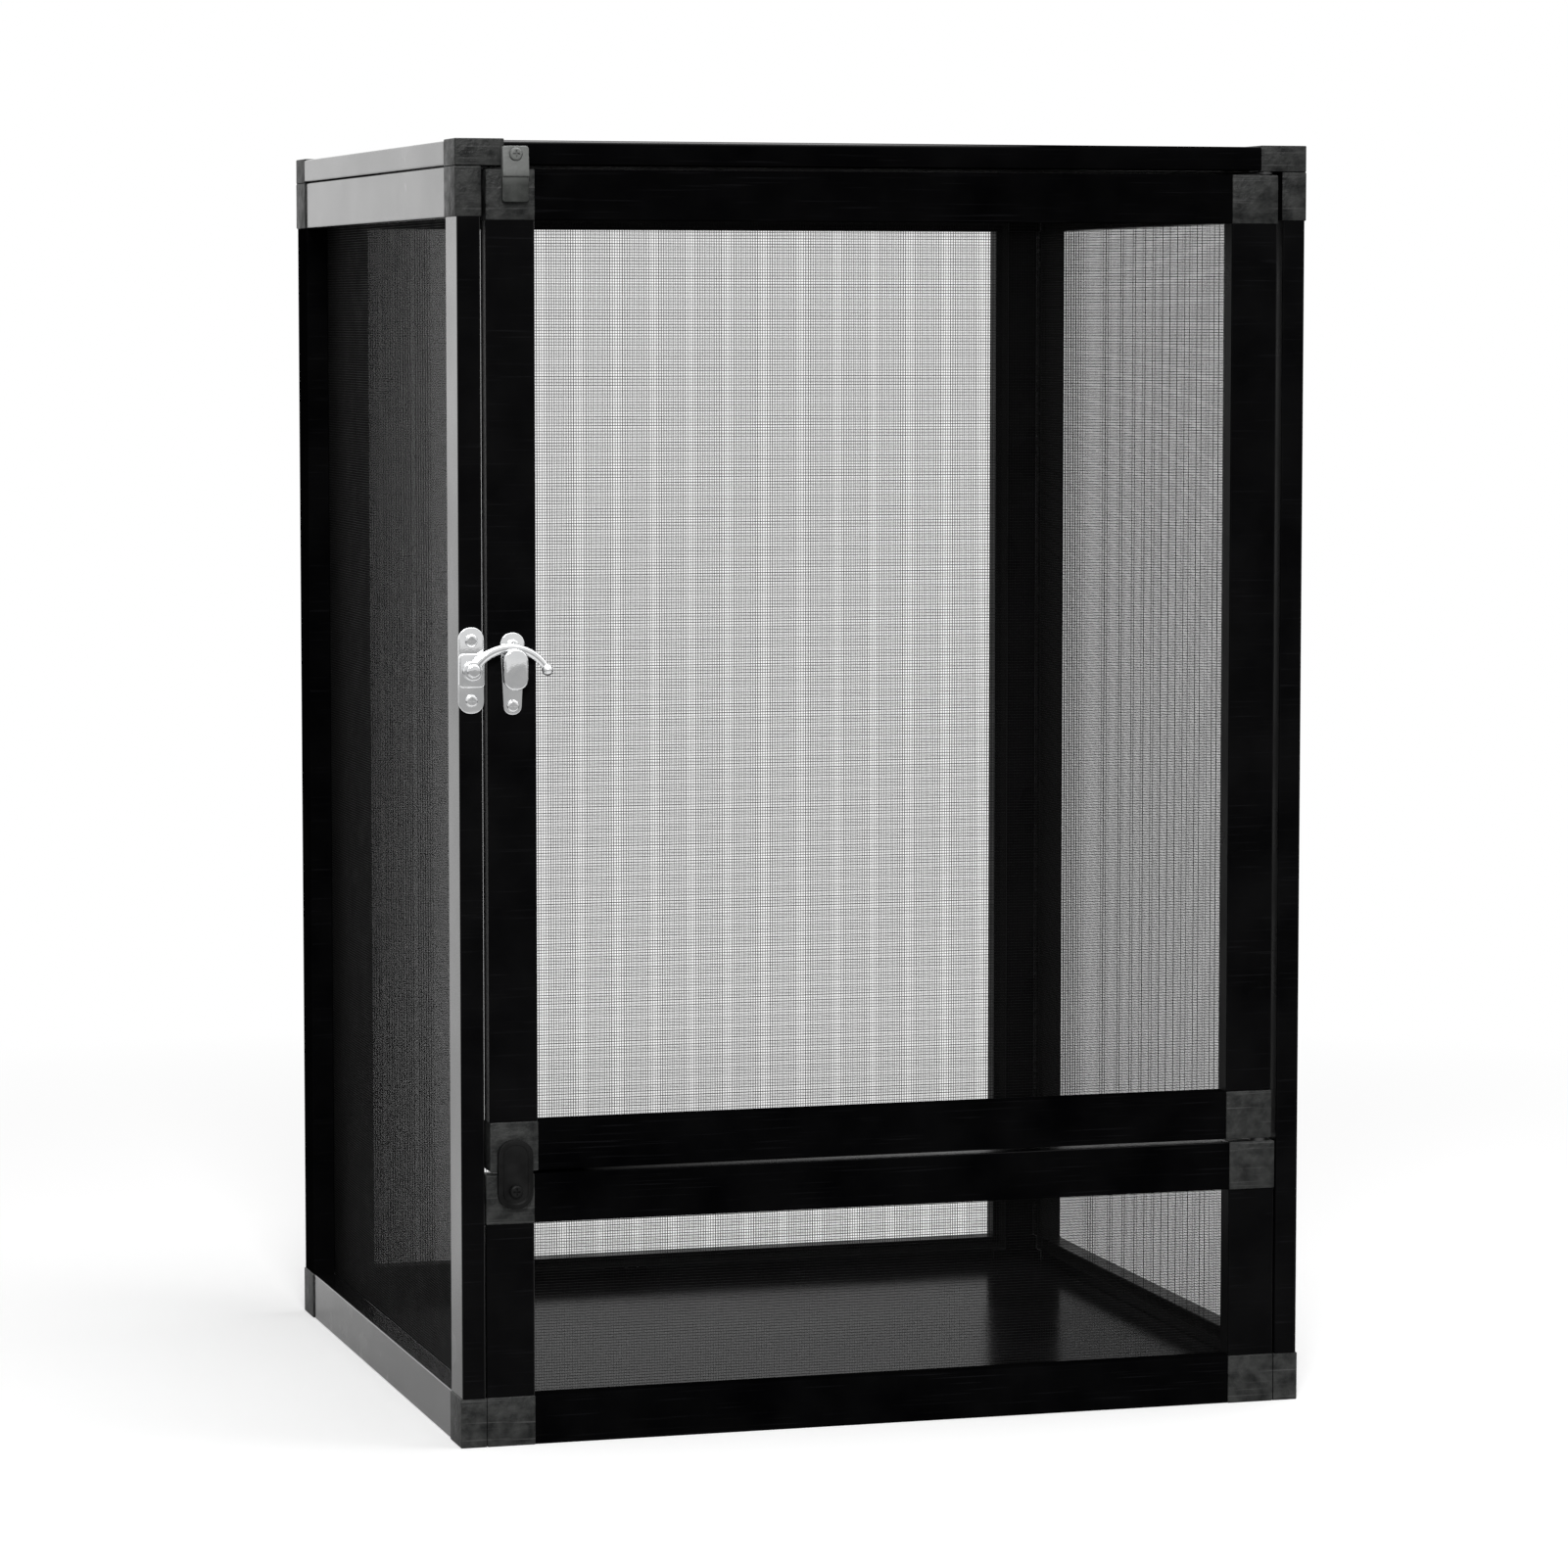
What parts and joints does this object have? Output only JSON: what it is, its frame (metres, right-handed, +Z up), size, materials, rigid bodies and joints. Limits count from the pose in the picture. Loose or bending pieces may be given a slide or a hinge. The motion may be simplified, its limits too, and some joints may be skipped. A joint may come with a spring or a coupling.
{
  "type": "mesh reptile cage",
  "caption": "Upright screen cage for reptiles: framed mesh panels with corner blocks, a hinged front door with a swinging hook latch and turn buttons, and a solid floor board.",
  "frame": {"origin": "on the ground, at the middle of the cage's width and depth", "axes": "+Z up, +X to the right seen from the front, -Y out of the front with the door"},
  "size_m": [0.45, 0.4088, 0.655],
  "materials": {
    "frame": "satin black coat",
    "block": "matte dark grey",
    "mesh": "dark coated screen",
    "spline": "matte black",
    "board": "gloss black",
    "chrome": "polished",
    "steel": "plain",
    "washer": "black nylon"
  },
  "bodies": {
    "cage": {"left_front_stile": "frame", "left_rear_stile": "frame", "left_top_rail": "frame", "left_bottom_rail": "frame", "left_corner_blocks": "block", "left_mesh": "mesh", "left_spline": "spline", "right_front_stile": "frame", "right_rear_stile": "frame", "right_top_rail": "frame", "right_bottom_rail": "frame", "right_corner_blocks": "block", "right_mesh": "mesh", "right_spline": "spline", "back_left_stile": "frame", "back_right_stile": "frame", "back_top_rail": "frame", "back_bottom_rail": "frame", "back_corner_blocks": "block", "back_mesh": "mesh", "back_spline": "spline", "top_front_rail": "frame", "top_rear_rail": "frame", "top_left_rail": "frame", "top_right_rail": "frame", "top_corner_blocks": "block", "top_mesh": "mesh", "top_spline": "spline", "lower_left_stile": "frame", "lower_right_stile": "frame", "lower_top_rail": "frame", "lower_bottom_rail": "frame", "lower_corner_blocks": "block", "lower_mesh": "mesh", "lower_spline": "spline", "floor_board": "board", "assembly_pegs": "block", "hinge_pins": "steel", "hinge_washers": "washer", "hook_plate": "chrome", "hook_plate_screws": "chrome", "hook_rivet": "chrome", "top_button_screw": "steel", "lower_button_screw": "steel"},
    "door": {"door_latch_stile": "frame", "door_hinge_stile": "frame", "door_top_rail": "frame", "door_bottom_rail": "frame", "door_corner_blocks": "block", "door_mesh": "mesh", "door_spline": "spline", "keeper_plate": "chrome", "keeper_stud": "chrome", "keeper_screws": "chrome"},
    "hook": {"hook": "chrome"},
    "top_button": {"top_turn_button": "block"},
    "lower_button": {"lower_turn_button": "block"}
  },
  "joints": [
    {"name": "door_hinge", "type": "hinge", "parent": "cage", "child": "door", "pos_m": [0.2035, -0.1958, 0.389], "axis": [0, 0, 1], "range_deg": [0, 115]},
    {"name": "hook_pivot", "type": "hinge", "parent": "cage", "child": "hook", "pos_m": [-0.21825, -0.20515, 0.392], "axis": [0, -1, 0], "range_deg": [0, 90]},
    {"name": "top_button_pivot", "type": "hinge", "parent": "cage", "child": "top_button", "pos_m": [-0.195, -0.2018, 0.64725], "axis": [0, -1, 0], "range_deg": [0, 90]},
    {"name": "lower_button_pivot", "type": "hinge", "parent": "cage", "child": "lower_button", "pos_m": [-0.197, -0.2018, 0.13], "axis": [0, 1, 0], "range_deg": [0, 90]}
  ]
}
